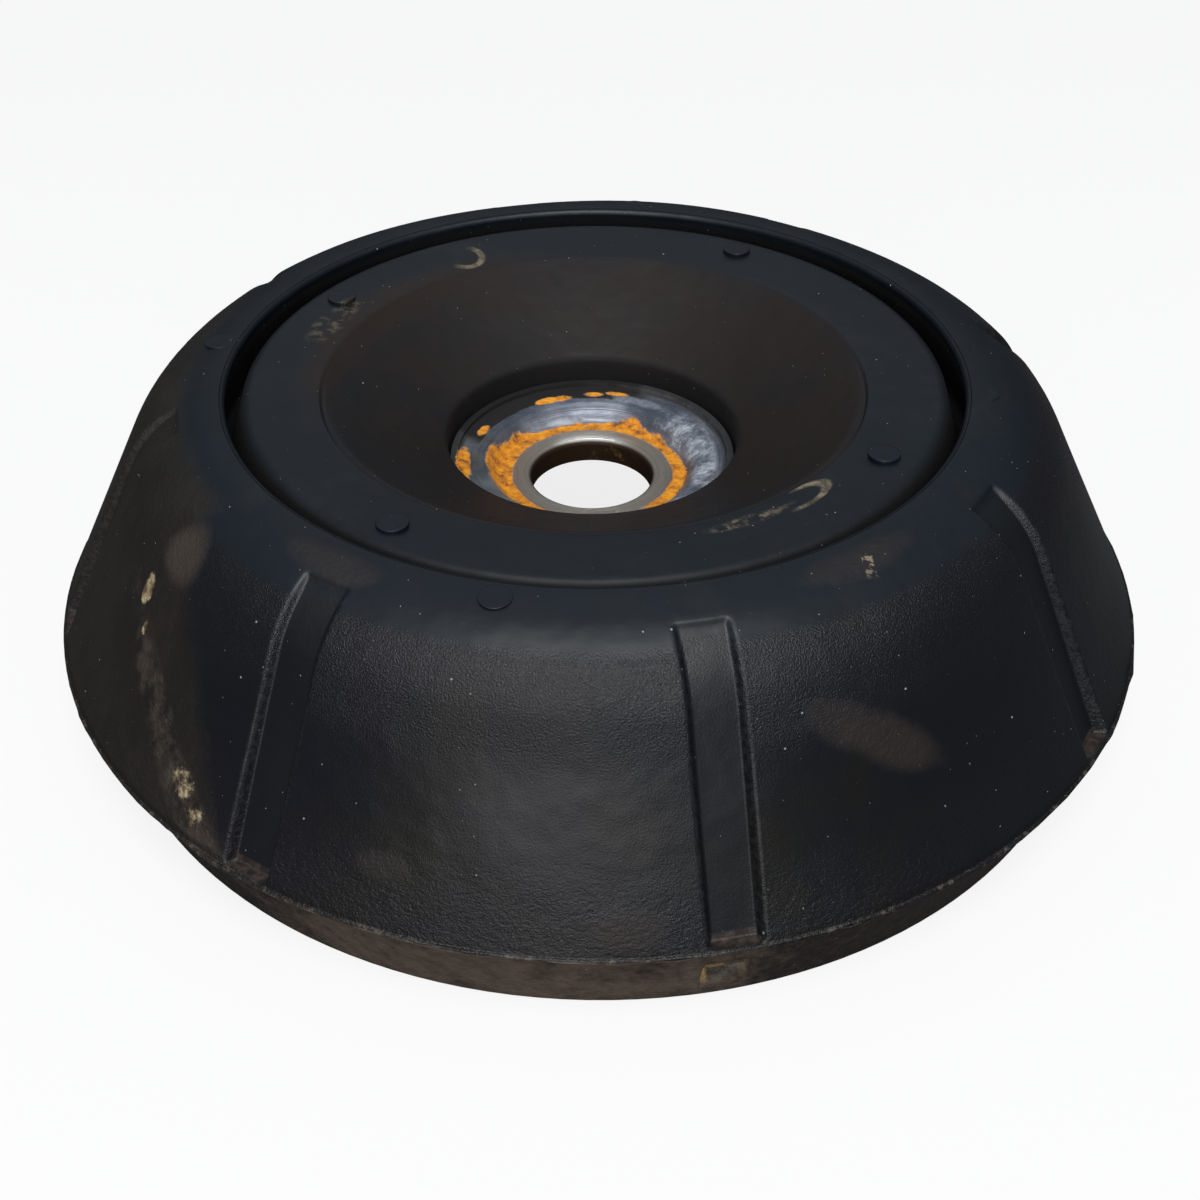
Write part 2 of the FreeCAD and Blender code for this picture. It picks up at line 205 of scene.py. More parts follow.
# %% Stations along the section
FLANK_STATIONS = 1.6
HIDDEN_STATIONS = 7.0
CROWDED_STATIONS = 0.1
UNDER_PLATE_RADIUS = 44
ON_PLATE_RADII, ON_PLATE_HEIGHT = (30, 38), 35.4
TURN_STATIONS = math.radians(10)
CREASE_LINE = CREASE_RADIUS - 0.35


def flank_face(radius, height):
    """True on the outer face, outside a line that leans inwards as the flank does."""
    return radius > FLANK_FACE_RADIUS - 0.5 * (height - FOOT_HEIGHT)


def nearness(distance, reach):
    """1 within reach of a place, else 0."""
    return (np.abs(distance) < reach).astype(float)


def section_stations(path):
    """Points where a measure is whole: length over spacing, plus turning over its step.

    Faces that nobody sees get a wide spacing, and fine edges on the outside a narrow one.
    """
    step = np.diff(path, axis=0)
    length = np.linalg.norm(step, axis=1)
    middle = (path[1:] + path[:-1]) / 2
    radius, height = middle.T
    heading = np.unwrap(np.arctan2(step[:, 1], step[:, 0]))
    turning = np.abs(np.gradient(heading))
    under_plate = (height < SEAT_MARGIN) & (radius < UNDER_PLATE_RADIUS)
    on_plate = (radius > ON_PLATE_RADII[0]) & (radius < ON_PLATE_RADII[1])
    on_plate &= height < ON_PLATE_HEIGHT
    spacing = np.where(under_plate | on_plate, HIDDEN_STATIONS, FLANK_STATIONS)
    outside = (radius > GROOVE_TOP_RADIUS - 1) & flank_face(radius, height)
    crowded = nearness(height - FOOT_HEIGHT - 0.35, 0.4) + nearness(radius - GROOVE_TOP_RADIUS, 0.3)
    crowded += nearness(height - WINDOW_LOW, 0.2) + nearness(height - WINDOW_HIGH, 0.2)
    crowded = crowded * outside + nearness(radius - CREASE_LINE, 0.45) * (height > CREASE_TOP - 1)
    crowding = crowded * length / CROWDED_STATIONS
    measure = np.cumsum(length / spacing + turning / TURN_STATIONS + crowding)
    whole = np.arange(0, int(measure[-1])) * measure[-1] / int(measure[-1])
    picked = np.interp(whole, measure, np.arange(len(measure))).round().astype(int)
    normal = np.stack([step[:, 1], -step[:, 0]], -1) / length[:, None]
    return middle[picked], normal[picked]


SECTION_POINTS, SECTION_NORMALS = section_stations(SECTION)
print("stations along the section:", len(SECTION_POINTS))

# %% Lines round the axis
GROOVE_LINES = np.array([1.1, 2.1, 2.3, 2.4, 2.5, 2.6, 2.8, 3.0, 3.3])
GROOVE_LINES = np.concatenate([-GROOVE_LINES[::-1], [0.0], GROOVE_LINES])
BETWEEN_LINES = 16
FAR_AWAY = 99.0


def azimuth_grid(radius):
    """Angle of each line at each station, and its sideways distance from its groove.

    Beside a groove the angle is asin(distance / radius). Between two it is shared out evenly.
    """
    sector = 2 * math.pi / GROOVE_COUNT
    beside = np.arcsin(GROOVE_LINES[:, None] / radius[None, :])
    share = (np.arange(1, BETWEEN_LINES) / BETWEEN_LINES)[:, None]
    between = beside[-1] + share * (sector - 2 * beside[-1])
    one = np.concatenate([beside, between])
    turns = GROOVE_PHASE + sector * np.arange(GROOVE_COUNT)[:, None, None]
    away = np.repeat(GROOVE_LINES[:, None], len(radius), 1)
    away = np.concatenate([away, np.full(between.shape, FAR_AWAY)])
    return (turns + one).reshape(-1, len(radius)), np.tile(away, (GROOVE_COUNT, 1))


AZIMUTH, SIDEWAYS = azimuth_grid(SECTION_POINTS[:, 0])
print("lines round the axis:", len(AZIMUTH), "quads:", AZIMUTH.size)

# %% [markdown]
# Form on the skin
# The grooves, the bare window, the fine line pressed along the crease, the torn flash and the
# slight waviness of old rubber are all distances that the skin moves along its own normal.
# They could be cut with booleans, but those leave long thin faces that shade badly. A smooth
# step turns a wall into a few short slopes, and light catches them as it does a moulded edge.

# %% Smooth step and waviness
def smooth(value, low, high):
    """0 below low, 1 above high, and 3t^2 - 2t^3 between."""
    share = np.clip((value - low) / (high - low), 0, 1)
    return share * share * (3 - 2 * share)


def waviness(azimuth, along, seed, finest, count=24):
    """Sum of cosines with whole numbers of waves round the axis, so it closes on itself."""
    chance = np.random.default_rng(seed)
    waves = chance.integers(1, finest, count)
    slant = chance.normal(0, finest / 60.0, count)
    phase = chance.uniform(0, 2 * math.pi, count)
    angle = waves[:, None, None] * azimuth + slant[:, None, None] * along + phase[:, None, None]
    return np.cos(angle).sum(0) / math.sqrt(count)

# %% Depth of the skin
def groove_depth(radius, height, sideways):
    """Depth at the foot, less towards the top: top + (foot - top) * share ^ 0.6.

    The share is the radius between the top end and the foot. The ledge at the foot comes out
    level, because the skin moves down as well as in while the depth grows.
    """
    outside = flank_face(radius, height)
    upward = smooth(height, FOOT_HEIGHT, FOOT_HEIGHT + GROOVE_LEDGE)
    inward = smooth(radius, GROOVE_TOP_RADIUS - 0.3, GROOVE_TOP_RADIUS + 0.6)
    share = np.clip((radius - GROOVE_TOP_RADIUS) / (OUTER_RADIUS - GROOVE_TOP_RADIUS), 0, 1)
    depth = GROOVE_TOP_DEPTH + (GROOVE_FOOT_DEPTH - GROOVE_TOP_DEPTH) * share ** DEPTH_POWER
    across = 1 - smooth(np.abs(sideways), GROOVE_FLOOR_HALF, GROOVE_EDGE_HALF)
    return outside * upward * inward * depth * across


def window_depth(radius, height, sideways):
    """A square-cornered window through the band's rubber, under one groove."""
    outside = radius > FLANK_FACE_RADIUS
    upward = smooth(height, WINDOW_LOW - WINDOW_EDGE, WINDOW_LOW + WINDOW_EDGE)
    upward -= smooth(height, WINDOW_HIGH - WINDOW_EDGE, WINDOW_HIGH + WINDOW_EDGE)
    across = 1 - smooth(np.abs(sideways), WINDOW_HALF - WINDOW_EDGE, WINDOW_HALF + WINDOW_EDGE)
    lines = len(sideways) // GROOVE_COUNT
    here = np.zeros_like(sideways)
    here[lines * WINDOW_GROOVE:lines * (WINDOW_GROOVE + 1)] = 1
    return WINDOW_DEPTH * here * outside * upward * across


def crease_depth(radius, height, azimuth):
    """A fine line pressed along the crease: cos^2 across it, and deepest on the window's side."""
    across = np.clip(np.abs(radius - CREASE_LINE) / CREASE_HALF, 0, 1)
    bell = np.cos(across * math.pi / 2) ** 2
    side = smooth(-np.sin(azimuth), -0.2, 0.5)
    return CREASE_DEPTH * bell * side * (height > CREASE_TOP - 1)


radius = np.broadcast_to(SECTION_POINTS[:, 0], AZIMUTH.shape)
height = np.broadcast_to(SECTION_POINTS[:, 1], AZIMUTH.shape)
on_flank = smooth(height, FOOT_HEIGHT + 1, FOOT_HEIGHT + 4) * (radius > 46)
on_flash = smooth(radius, OUTER_RADIUS - 0.3, OUTER_RADIUS - 0.1) * (height < FOOT_HEIGHT + 0.3)
lift = -groove_depth(radius, height, SIDEWAYS) - window_depth(radius, height, SIDEWAYS)
lift -= crease_depth(radius, height, AZIMUTH)
lift += WAVE_HEIGHT * on_flank * waviness(AZIMUTH, height, 3, 9)
lift -= FLASH_TEAR * on_flash * (1 + waviness(AZIMUTH, 0 * height, 5, 70))
print("deepest:", round(-lift.min(), 2), "mm, proudest:", round(lift.max(), 2), "mm")

# %% [markdown]
# From arrays to a mesh
# The grid closes on itself both ways, like the skin of a ring, so there is no seam to weld.
# The same maker takes several grids at once, for the small pads further down.

# %% Mesh from grids
def grid_mesh(name, points, closed_along=True):
    """Quads between neighbours of each grid of points. A grid's first direction always closes."""
    blocks, lines, stations = points.shape[:3]
    index = np.arange(blocks * lines * stations).reshape(blocks, lines, stations)
    ahead = np.roll(index, -1, axis=1)
    corners = np.stack([index, ahead, np.roll(ahead, -1, 2), np.roll(index, -1, 2)], -1)
    if not closed_along:
        corners = corners[:, :, :-1]
    corners = corners.reshape(-1, 4).astype(np.int32)
    mesh = bpy.data.meshes.new(name)
    mesh.vertices.add(index.size)
    mesh.vertices.foreach_set("co", (points * MM).astype(np.float32).ravel())
    mesh.loops.add(corners.size)
    mesh.loops.foreach_set("vertex_index", corners.ravel())
    mesh.polygons.add(len(corners))
    mesh.polygons.foreach_set("loop_start", np.arange(0, corners.size, 4, dtype=np.int32))
    mesh.polygons.foreach_set("use_smooth", np.ones(len(corners), bool))
    mesh.update(calc_edges=True)
    mesh.validate()
    piece = bpy.data.objects.new(name, mesh)
    bpy.context.scene.collection.objects.link(piece)
    return piece


def point_values(piece, name, values):
    """Keeps one number per point on the mesh, for its material to read."""
    layer = piece.data.attributes.new(name, "FLOAT", "POINT")
    layer.data.foreach_set("value", np.asarray(values, np.float32).ravel())

# %% The rubber skin
skin_radius = radius + lift * SECTION_NORMALS[:, 0]
skin_height = height + lift * SECTION_NORMALS[:, 1]
skin_x, skin_y = skin_radius * np.cos(AZIMUTH), skin_radius * np.sin(AZIMUTH)
skin_points = np.stack([skin_x, skin_y, skin_height], -1)
rubber_skin = grid_mesh("rubber_skin", skin_points[None])
deepest = groove_depth(radius, height, 0 * SIDEWAYS)
floor_share = 1 - smooth(np.abs(SIDEWAYS), GROOVE_FLOOR_HALF - 0.1, GROOVE_FLOOR_HALF + 0.2)
at_wall = smooth(np.abs(SIDEWAYS), GROOVE_FLOOR_HALF, GROOVE_FLOOR_HALF + 0.25)
at_wall *= 1 - smooth(np.abs(SIDEWAYS), GROOVE_EDGE_HALF - 0.1, GROOVE_EDGE_HALF + 0.4)
point_values(rubber_skin, "groove_floor", floor_share * np.minimum(1, 3 * deepest))
point_values(rubber_skin, "groove_wall", at_wall * np.minimum(1, 2 * deepest))
point_values(rubber_skin, "window", window_depth(radius, height, SIDEWAYS) / WINDOW_DEPTH)
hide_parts("rubber_body")
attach(rubber_skin, "root")
print("rubber skin:", len(rubber_skin.data.polygons) * 2, "triangles")

# %% [markdown]
# Mould pads
# Pins hold the steel in the middle of the mould while rubber flows round it. Each leaves a low
# round pad. A pad is a small profile turned about its own upright axis, so all eight are one
# grid each, and their poles are welded afterwards.

# %% Mould pads
PAD_LINES = 40
PAD_EDGE = 0.07
PAD_DEPTH = 0.8
PAD_RISE = 0.25
RIM_DROP = 0.11
RIM_SLOPE = 0.06


def pad_points(circle, turn, top, slope):
    """A flat button with a rounded edge, turned about an upright axis beside the bore's.

    Its height falls with the slope times the distance outwards from its own middle.
    """
    bend = np.linspace(math.pi / 2, 0, 4)
    out = PAD_RADIUS - PAD_EDGE + PAD_EDGE * np.cos(bend)
    rise = -PAD_EDGE + PAD_EDGE * np.sin(bend)
    across = np.concatenate([[0.0, 0.7, 1.3], out, [PAD_RADIUS - 0.05, 0.0]])
    drop = np.concatenate([[-0.03, -0.02, 0.0], rise, [-PAD_DEPTH, -PAD_DEPTH]])
    angle = np.linspace(0, 2 * math.pi, PAD_LINES, endpoint=False)[:, None]
    x = circle * math.cos(turn) + across * np.cos(angle)
    y = circle * math.sin(turn) + across * np.sin(angle)
    outward = across * np.cos(angle - turn)
    return np.stack([x, y, top + drop - slope * outward], -1)


# Each pad's distance from the axis in mm, and its bearing in degrees.
DISC_PADS = ((37.2, 56.2), (36.9, 145.6), (36.8, 233.3), (36.0, 327.4))
RIM_PADS = ((44.6, 79.4), (45.2, 168.7), (45.0, 255.1), (44.3, 348.8))
pads = [
    pad_points(circle, math.radians(turn), DISC_TOP + PAD_RISE, 0.0)
    for circle, turn in DISC_PADS
]
pads += [
    pad_points(circle, math.radians(turn), TOP - RIM_DROP, RIM_SLOPE)
    for circle, turn in RIM_PADS
]
mould_pads = grid_mesh("mould_pads", np.stack(pads), closed_along=False)
welding = bmesh.new()
welding.from_mesh(mould_pads.data)
bmesh.ops.remove_doubles(welding, verts=welding.verts, dist=1e-6)
bmesh.ops.recalc_face_normals(welding, faces=welding.faces)
welding.to_mesh(mould_pads.data)
welding.free()
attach(mould_pads, "root")
print("mould pads:", len(pads), "with", len(mould_pads.data.polygons), "faces")

# %% [markdown]
# A short way to write materials
# A material is a web of nodes, but its sums are easier to read as Python. Each output socket
# is wrapped in a small class, and adding or multiplying two of them places the Math node.

# %% Sockets as values
class Value:
    """One output socket of a material. Arithmetic on it adds Math nodes."""

    def __init__(self, tree, socket=None):
        self.tree = tree
        self.socket = socket

    def node(self, kind, settings=None, inputs=None, output=0):
        """Adds any node: its settings first, then values or links for its sockets."""
        made = self.tree.nodes.new(kind)
        for name, setting in (settings or {}).items():
            setattr(made, name, setting)
        for name, given in (inputs or {}).items():
            if isinstance(given, Value):
                self.tree.links.new(given.socket, made.inputs[name])
            else:
                made.inputs[name].default_value = given
        return Value(self.tree, made.outputs[output] if made.outputs else None)

    def beside(self, output):
        """Another output of the same node."""
        return Value(self.tree, self.socket.node.outputs[output])

    def sum(self, operation, first, second=0.0):
        return self.node("ShaderNodeMath", {"operation": operation}, {0: first, 1: second})

    def __add__(self, other):
        return self.sum("ADD", self, other)

    def __sub__(self, other):
        return self.sum("SUBTRACT", self, other)

    def __rsub__(self, other):
        return self.sum("SUBTRACT", other, self)

    def __mul__(self, other):
        return self.sum("MULTIPLY", self, other)

    def __truediv__(self, other):
        return self.sum("DIVIDE", self, other)

    def __pow__(self, other):
        return self.sum("POWER", self, other)

    def __abs__(self):
        return self.sum("ABSOLUTE", self)

    def __lt__(self, other):
        return self.sum("LESS_THAN", self, other)

    __radd__ = __add__
    __rmul__ = __mul__

    def most(self, other):
        return self.sum("MAXIMUM", self, other)

    def step(self, low, high):
        """0 below low, 1 above high, smooth between."""
        inputs = {"Value": self, "From Min": low, "From Max": high}
        return self.node("ShaderNodeMapRange", {"interpolation_type": "SMOOTHSTEP"}, inputs)

    def noise(self, scale, detail=2.0, roughness=0.5):
        """Cloudy values about 0.5 at this place. The scale is in cells to a metre."""
        inputs = {"Vector": self, "Scale": scale, "Detail": detail, "Roughness": roughness}
        return self.node("ShaderNodeTexNoise", {}, inputs)

    def cover(self, below, above):
        """The colour below, covered by the one above where this value is 1."""
        return self.node("ShaderNodeMix", {"data_type": "RGBA"}, {0: self, 6: below, 7: above}, 2)

    def moved(self, offset):
        """This place, moved by a constant, so that two patterns from it don't match."""
        return self.node("ShaderNodeVectorMath", {"operation": "ADD"}, {0: self, 1: offset})

    def scaled(self, factors):
        """This place, stretched along each axis."""
        return self.node("ShaderNodeVectorMath", {"operation": "MULTIPLY"}, {0: self, 1: factors})


def paint(red, green, blue):
    """A linear colour as a socket takes it."""
    return (red, green, blue, 1.0)


named_steps = [name for name in vars(Value) if not name.startswith("__")]
print("values know", ", ".join(named_steps))

# %% Places on the surface
def new_material(name):
    """An empty material and the wrapped place of each point, in metres from the origin."""
    material = bpy.data.materials.new(name)
    material.use_nodes = True
    material.node_tree.nodes.clear()
    return material, Value(material.node_tree).node("ShaderNodeTexCoord", output="Object")


def round_axis(place):
    """Distance from the axis in mm, angle round it in radians, and height in mm."""
    across = place.node("ShaderNodeSeparateXYZ", {}, {"Vector": place})
    forward, up = across.beside("Y"), across.beside("Z")
    distance = (across * across + forward * forward) ** 0.5 * (1 / MM)
    return distance, forward.sum("ARCTAN2", forward, across), up * (1 / MM)


def toward(angle, degrees_round):
    """1 on the side that a bearing points to, -1 on the far side: the cosine between them."""
    return angle.sum("COSINE", angle - math.radians(degrees_round))


def patch(angle, height, centre, half_sizes, edge, wobble):
    """1 inside an oval on a round wall, in mm. The wobble makes its border uneven.

    The oval is (chord / half width)^2 + (up / half height)^2 < 1, and the chord on a circle
    of radius r is r * sqrt(2 - 2 cos(angle from its centre)).
    """
    degrees_round, wall_radius, up = centre
    across = (1 - toward(angle, degrees_round)) * (2 * (wall_radius / half_sizes[0]) ** 2)
    rise = (height - up) * (1 / half_sizes[1])
    inside = across + rise * rise + wobble
    return 1 - inside.step(1 - edge, 1 + edge)


def dried_arc(angle, distance, centre, half_sizes, kept_side, wobble):
    """A drop's dried rim: a thin oval ring on a level face, kept on one side only."""
    degrees_round, circle = centre
    across = (angle - math.radians(degrees_round)) * circle
    out = distance - circle
    ring = ((across * (1 / half_sizes[0])) ** 2 + (out * (1 / half_sizes[1])) ** 2) ** 0.5
    thin = 1 - abs(ring - 1 + wobble * 0.12).step(0.08, 0.26)
    return thin * (across * kept_side[0] + out * kept_side[1]).step(-1.2, 1.2)


def finish_surface(place, colour, rough, metallic, relief, depth, **fixed):
    """Joins colour, roughness and relief to the one shader, and sets its fixed sockets."""
    bumps = place.node("ShaderNodeBump", {}, {"Height": relief, "Distance": depth})
    inputs = {"Base Color": colour, "Roughness": rough, "Metallic": metallic, "Normal": bumps}
    inputs.update({name.replace("_", " "): value for name, value in fixed.items()})
    shader = place.node("ShaderNodeBsdfPrincipled", {}, inputs)
    place.node("ShaderNodeOutputMaterial", {}, {"Surface": shader})


print("ready to write materials")

# %% Specks
def specks(place, scale, share, size):
    """Scattered round dots, at most one to a cell of a Voronoi pattern. Their sizes differ."""
    cell = place.node("ShaderNodeTexVoronoi", {}, {"Vector": place, "Scale": scale}, "Distance")
    chance = cell.node("ShaderNodeSeparateColor", {}, {"Color": cell.beside("Color")})
    reach = chance.beside("Green") ** 3 * size + size
    return (1 - (cell / reach).step(0.6, 1.1)) * (chance < share)


print("specks are ready")

# %% [markdown]
# Moulded rubber that has had a hard life
# New rubber of this kind is black with a faint blue cast. Years under a car leave a grey film
# where it is open to the air, brown grime in the dish and on the foot, a few ochre splashes and
# many tiny white specks. The lower flank keeps the grain of the mould, so light breaks up there.
# Each of these is one mask over the one before, and each mask is a sum of noise and place.

# %% Colours and borders of the rubber
VIOLET_BLACK = paint(0.0075, 0.0063, 0.0102)
BLUE_BLACK = paint(0.0052, 0.0064, 0.0092)
OLIVE_BLACK = paint(0.0078, 0.0076, 0.0068)
# Top faces: the rubber's blue cast plus a painted reflection of the cool sky, bare and under dust.
TOP_SKY_TINT = paint(0.0046, 0.0080, 0.0125)
TOP_DUST_AND_SKY_TINT = paint(0.0110, 0.0135, 0.0170)
DISH_GREY = paint(0.0070, 0.0078, 0.0092)
DISH_GRIME = paint(0.0135, 0.0080, 0.0062)
CREASE_GRIME = paint(0.0165, 0.0088, 0.0052)
GAP_SHADE = paint(0.0010, 0.0010, 0.0012)
# Groove floors painted bluer, a painted reflection of the sky.
GROOVE_SKY_TINT = paint(0.0056, 0.0070, 0.0095)
FILM_DARK, FILM_PALE = paint(0.0105, 0.0086, 0.0064), paint(0.0180, 0.0140, 0.0104)
SMEAR_GREY = paint(0.062, 0.047, 0.036)
WORN_BROWN = paint(0.034, 0.023, 0.020)
OCHRE_DEEP, OCHRE_PALE = paint(0.20, 0.135, 0.065), paint(0.52, 0.42, 0.26)
DROP_DEEP, DROP_PALE = paint(0.10, 0.078, 0.052), paint(0.27, 0.22, 0.15)
SCUFF_GREY = paint(0.040, 0.040, 0.045)
SPECK_WHITE = paint(0.32, 0.32, 0.32)
# Where masks begin and end, in mm: heights, then distances from the axis.
TOP_FACE = (36.2, 37.2)
BAND_TOP = (11.0, 11.5)
DISH_INNER, DISH_OUTER = (16.0, 17.6), (30.6, 32.4)
MOAT_INNER, MOAT_OUTER = (38.7, 40.2), (44.4, 45.2)
FLANK_SIDE = (46, 48.5)
print("top face from", TOP_FACE[0], "mm, foot band to", BAND_TOP[1], "mm")

# %% Rubber
def rubber_colours(place, distance, angle, height, attribute):
    """Clean rubber in its three casts, a bluer top and groove floors as a painted reflection of the
    sky, then grime in the dish and the moat's shadow.
    """
    drift = place.noise(24, 3, 0.55)
    other_drift = place.moved((2, 0, 5)).noise(36, 3, 0.6)
    colour = drift.step(0.42, 0.58).cover(VIOLET_BLACK, BLUE_BLACK)
    colour = other_drift.step(0.52, 0.66).cover(colour, OLIVE_BLACK)
    on_top = height.step(*TOP_FACE)
    dust = place.moved((4, 4, 0)).noise(85, 5, 0.72).step(0.46, 0.80)
    # Painted reflection: the top faces are painted bluer, with grey dust over part of them.
    colour = (on_top * 0.92).cover(colour, dust.cover(TOP_SKY_TINT, TOP_DUST_AND_SKY_TINT))
    in_dish = (1 - distance.step(*DISH_OUTER)) * distance.step(*DISH_INNER)
    grime = place.moved((1, 5, 0)).noise(48, 4, 0.6)
    dish_colour = grime.step(0.35, 0.65).cover(DISH_GREY, DISH_GRIME)
    colour = (in_dish * 0.9).cover(colour, dish_colour)
    wobble = (grime - 0.5) * 2.5
    left_crease = patch(angle, distance, (143, 32, 32.0), (22, 3.0), 0.8, wobble)
    colour = (left_crease * 0.75).cover(colour, CREASE_GRIME)
    shaded = distance.step(*MOAT_INNER) * (1 - distance.step(*MOAT_OUTER))
    shaded = shaded * (1 - height.step(37.2, 38.0))
    shaded = shaded.most((1 - distance.step(17.35, 18.1)) * 0.8)
    colour = (shaded * 0.95).cover(colour, GAP_SHADE)
    # Painted reflection: the groove floors are painted bluer as well.
    colour = (attribute("groove_floor") * 0.6).cover(colour, GROOVE_SKY_TINT)
    return colour, on_top, in_dish, shaded


def rubber_films(place, distance, angle, height, colour):
    """Thin films of dried mud: the whole far left side, a smear down from it, and worn ovals."""
    uneven = place.moved((7, 0, 1)).noise(150, 4, 0.7) - 0.5
    crumbs = place.moved((0, 3, 3)).noise(640, 4, 0.68)
    streak = place.scaled((1, 1, 0.4)).moved((0, 1, 6)).noise(150, 4, 0.65)
    outside = distance.step(*FLANK_SIDE)
    behind = toward(angle, -177) - (height - 12) * 0.0083 + uneven * 0.10
    muddy = behind.step(0.635, 0.69) * outside
    film = streak.step(0.35, 0.65).cover(FILM_DARK, FILM_PALE)
    colour = (muddy * 0.85).cover(colour, film)
    slanted = angle + (height - 19) * 0.022
    smear = patch(slanted, height, (-140.5, 59, 19.0), (3.4, 9.0), 0.9, uneven * 3.5)
    smear = smear * (crumbs + streak).step(0.80, 1.2)
    above = patch(angle, height, (-146.5, 52.7, 34.2), (3.0, 2.2), 0.9, uneven * 2)
    smear = smear.most(above * 0.8) * outside
    colour = (smear * 0.8).cover(colour, SMEAR_GREY)
    leaning = angle + (height - 26.6) * 0.02
    oval = patch(leaning, height, (-64.4, 57.2, 26.6), (3.8, 4.2), 0.7, uneven * 2.2)
    low_front = patch(angle, height, (-90, 63.5, 13.6), (3.6, 1.9), 0.9, uneven * 3)
    low_left = patch(angle, height, (-112, 61, 17.0), (2.5, 1.3), 0.9, uneven * 4)
    oval = oval.most(low_front * 0.8).most(low_left * 0.5) * outside
    for centre, sizes in (((-58, 45.6, 45.8), (6.0, 1.7)), ((-127, 45.2, 46.0), (5.0, 1.7))):
        oval = oval.most(patch(angle, distance, centre, sizes, 0.9, uneven * 3) * 0.7)
    colour = (oval * 0.5).cover(colour, WORN_BROWN)
    return colour, smear.most(oval), muddy, crumbs, uneven


def rubber_splashes(distance, angle, height, colour, crumbs, uneven):
    """Thick dried drops: ochre crumbs on the left side, and two dried rims on the disc."""
    ochre = patch(angle, height, (-150.6, 55.9, 29.0), (1.3, 1.8), 0.7, uneven * 2)
    for centre, sizes, edge, wobble, strength in (
        ((-135.6, 62, 16.3), (1.8, 1.6), 0.9, 4, 0.62),
        ((-132.8, 63, 13.6), (1.2, 1.2), 0.9, 4, 0.6),
        ((-148.6, 56.5, 25.8), (0.6, 0.9), 0.7, 3, 0.8),
    ):
        crumb = patch(angle, height, centre, sizes, edge, uneven * wobble)
        ochre = ochre.most(crumb * strength)
    ochre = (ochre + crumbs * 1.6).step(1.25, 1.75) * distance.step(*FLANK_SIDE)
    ochre_colour = crumbs.step(0.40, 0.62).cover(OCHRE_DEEP, OCHRE_PALE)
    colour = (ochre * 0.95).cover(colour, ochre_colour)
    arcs = dried_arc(angle, distance, (115.4, 35.2), (2.4, 2.6), (-0.9, -0.9), uneven)
    arcs = arcs.most(dried_arc(angle, distance, (-53.5, 33.3), (4.4, 1.5), (1.0, 0.8), uneven))
    trail = patch(angle, distance, (-64, 33.6, 33.6), (5.0, 0.7), 0.8, uneven * 3.5) * 0.6
    worn = patch(angle, distance, (154, 34.5, 34.8), (4.5, 1.6), 0.9, uneven * 3.5) * 0.35
    arcs = arcs * (crumbs.step(0.3, 0.5) * 0.5 + 0.5)
    arcs = arcs.most((trail + worn) * crumbs.step(0.42, 0.6))
    rim_drop = patch(angle, distance, (-57.5, 46, 46.4), (2.4, 1.5), 0.9, uneven * 3)
    arcs = arcs.most(rim_drop * crumbs.step(0.56, 0.62))
    return (arcs * 0.85).cover(colour, crumbs.step(0.4, 0.65).cover(DROP_DEEP, DROP_PALE))

# %% Mud on the foot band
MUD_DARK, MUD_BROWN = paint(0.013, 0.0095, 0.0088), paint(0.030, 0.022, 0.019)
MUD_DRY = paint(0.19, 0.142, 0.106)
FOOT_SHADE = paint(0.0050, 0.0045, 0.0045)
CREST_DUST = paint(0.16, 0.135, 0.11)
LEDGE_DARK, LEDGE_PALE = paint(0.020, 0.015, 0.014), paint(0.060, 0.045, 0.038)
RING_DARK, RING_PALE = paint(0.040, 0.040, 0.043), paint(0.16, 0.145, 0.125)
RUST_BROWN = paint(0.23, 0.125, 0.06)
RUST_STRAW = paint(0.30, 0.245, 0.17)
RUST_BRIGHT = paint(0.88, 0.56, 0.20)
BAND_RADIUS = 61.5
WINDOW_TURN = math.degrees(GROOVE_PHASE) + 360 / GROOVE_COUNT * WINDOW_GROOVE - 360


def foot_mud(place, angle, height, colour, attribute):
    """Road mud dried on the band, paler towards the front, with rust in the corners of the window.
    """
    on_band = 1 - height.step(*BAND_TOP)
    cloud = place.moved((0, 2, 4)).noise(210, 5, 0.72)
    grain = place.moved((3, 3, 4)).noise(900, 3, 0.65)
    colour = on_band.cover(colour, grain.step(0.35, 0.65).cover(MUD_DARK, MUD_BROWN))
    # The dry mud is paler towards the front, round bearing -101.
    front = toward(angle, -101).step(0.84, 0.99)
    light = (cloud * 0.7 + grain * 0.3 + front * 0.30).step(0.52, 0.95)
    colour = (on_band * light * 0.8).cover(colour, MUD_DRY)
    foot_line = (1 - abs(height - 11.75).step(0.1, 0.6)) * 0.75
    colour = foot_line.cover(colour, FOOT_SHADE)
    crest = (1 - abs(height - 11.3).step(0.1, 0.35)) * grain.step(0.52, 0.66)
    colour = (crest * 0.5).cover(colour, CREST_DUST)
    ledge = attribute("groove_floor") * (1 - height.step(12.0, 12.25)) * (1 - on_band)
    ledge_colour = grain.step(0.35, 0.65).cover(LEDGE_DARK, LEDGE_PALE)
    colour = (ledge * 0.8).cover(colour, ledge_colour)
    sideways = angle.sum("SINE", angle - math.radians(WINDOW_TURN)) * BAND_RADIUS
    inside = grain.step(0.38, 0.62).cover(RING_DARK, RING_PALE)
    top_rust = (height + grain * 1.5 - sideways * 0.25).step(6.6, 7.3)
    inside = (top_rust * 0.8).cover(inside, RUST_BROWN)
    right_rust = (sideways + grain * 0.8).step(1.7, 2.2)
    inside = (right_rust * 0.85).cover(inside, RUST_STRAW)
    left_rust = 1 - (sideways - grain * 0.4).step(-2.15, -1.7)
    inside = left_rust.cover(inside, RUST_BRIGHT)
    return attribute("window").cover(colour, inside), on_band


print("mud up to", BAND_TOP[1], "mm, and the window faces", round(WINDOW_TURN, 1), "degrees")

# %% Rubber material
RUBBER_RELIEF = 0.0003


